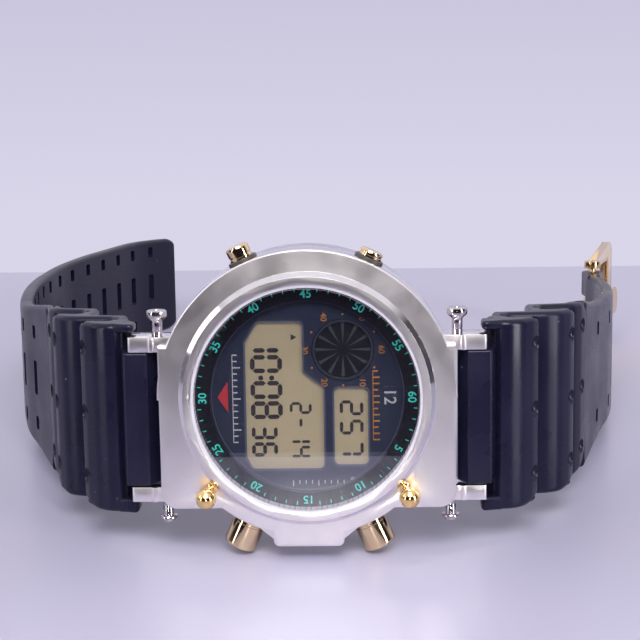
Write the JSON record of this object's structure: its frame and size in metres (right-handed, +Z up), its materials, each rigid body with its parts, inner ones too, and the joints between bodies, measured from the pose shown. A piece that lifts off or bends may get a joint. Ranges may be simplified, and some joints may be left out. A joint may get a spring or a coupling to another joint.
{
  "type": "digital dive watch",
  "caption": "Wrist dive timer with an asymmetric steel case, sprung pushers, printed digital dial, screw-in back and a bellows strap that hinges on spring bars and ends in a pin buckle.",
  "frame": {"origin": "Centre of the flat outer face of the case back.", "axes": "+Z up as the watch stands on its three o'clock side, +X towards the twelve o'clock end of the case, +Y from the dial back towards the wearer's wrist. The case leans back 7.36 degrees from upright."},
  "size_m": [0.1238, 0.1392, 0.0498],
  "materials": {
    "satin_steel": "bead blasted satin steel",
    "polished_steel": "polished steel",
    "pusher_metal": "polished brownish gold plating",
    "gold_metal": "polished yellow gold plating",
    "clear_glass": "clear mineral glass",
    "black_rubber": "matt black seal rubber",
    "strap_resin": "semi gloss black resin",
    "black_print": "black with teal printed numerals",
    "dial_print": "dark blue with printed marks",
    "display_glass": "liquid crystal panel, warm grey",
    "gauge_glass": "dark liquid crystal panel",
    "backlight": "pale luminous sheet",
    "frame_plastic": "black moulded plastic",
    "connector_rubber": "striped conductive rubber",
    "board": "green circuit board",
    "chip_resin": "black moulded resin",
    "spring_steel": "bright spring steel",
    "copper_wire": "wound enamelled copper wire",
    "battery_steel": "nickel plated steel cell",
    "insulator_film": "amber insulating film",
    "buzzer_brass": "brass sounder disc"
  },
  "bodies": {
    "case": {"case_body": "satin_steel", "glass": "clear_glass", "glass_gasket": "black_rubber", "printed_ring": "black_print", "dial_plate": "dial_print", "gauge_rim": "polished_steel", "display_panel": "display_glass", "gauge_panel": "gauge_glass", "backlight_sheet": "backlight", "movement_frame": "frame_plastic", "connector_strips": "connector_rubber", "circuit_board": "board", "chip": "chip_resin", "quartz_crystal": "spring_steel", "booster_coil": "copper_wire", "button_contacts": "spring_steel", "battery": "battery_steel", "battery_clip": "spring_steel", "insulator": "insulator_film", "buzzer_pin": "spring_steel", "buzzer_disc": "buzzer_brass", "case_back": "satin_steel", "back_seal": "black_rubber", "pusher_tubes": "spring_steel", "pusher_seals": "black_rubber", "pusher_clips": "spring_steel", "pusher_springs": "spring_steel", "ball_studs": "gold_metal", "upper_cover_screws": "polished_steel", "lower_cover_screws": "polished_steel", "spring_bars": "spring_steel"},
    "strap_long": {"strap_long": "strap_resin"},
    "strap_short": {"strap_short": "strap_resin"},
    "buckle_frame": {"buckle_frame": "gold_metal", "buckle_pin": "gold_metal"},
    "buckle_tongue": {"buckle_tongue": "gold_metal"},
    "pusher_upper_left": {"pusher_upper_left": "pusher_metal"},
    "pusher_upper_right": {"pusher_upper_right": "pusher_metal"},
    "pusher_lower_left": {"pusher_lower_left": "pusher_metal"},
    "pusher_lower_right": {"pusher_lower_right": "pusher_metal"}
  },
  "joints": [
    {"name": "pusher_upper_left_press", "type": "slide", "parent": "case", "child": "pusher_upper_left", "axis": [0.4195, -0.1162, -0.9003], "range_m": [0, 0.0008], "stiffness_N_per_m": 400, "springref_m": -0.004},
    {"name": "pusher_upper_right_press", "type": "slide", "parent": "case", "child": "pusher_upper_right", "axis": [-0.4195, -0.1162, -0.9003], "range_m": [0, 0.0008], "stiffness_N_per_m": 400, "springref_m": -0.004},
    {"name": "pusher_lower_left_press", "type": "slide", "parent": "case", "child": "pusher_lower_left", "axis": [0.4195, 0.1162, 0.9003], "range_m": [0, 0.0008], "stiffness_N_per_m": 400, "springref_m": -0.004},
    {"name": "pusher_lower_right_press", "type": "slide", "parent": "case", "child": "pusher_lower_right", "axis": [-0.4195, 0.1162, 0.9003], "range_m": [0, 0.0008], "stiffness_N_per_m": 400, "springref_m": -0.004},
    {"name": "strap_long_swing", "type": "hinge", "parent": "case", "child": "strap_long", "pos_m": [-0.0261, -0.00682, -0.00285], "axis": [0, 0.128, 0.9918], "range_deg": [-25, 20]},
    {"name": "strap_short_swing", "type": "hinge", "parent": "case", "child": "strap_short", "pos_m": [0.0261, -0.00682, -0.00285], "axis": [0, -0.128, -0.9918], "range_deg": [-25, 20]},
    {"name": "buckle_frame_swing", "type": "hinge", "parent": "strap_short", "child": "buckle_frame", "pos_m": [0.0572, 0.07547, -0.00974], "axis": [0, -0.128, -0.9918], "range_deg": [-25, 45]},
    {"name": "buckle_tongue_swing", "type": "hinge", "parent": "buckle_frame", "child": "buckle_tongue", "pos_m": [0.0572, 0.07547, -0.00974], "axis": [0, -0.128, -0.9918], "range_deg": [0, 60]}
  ]
}
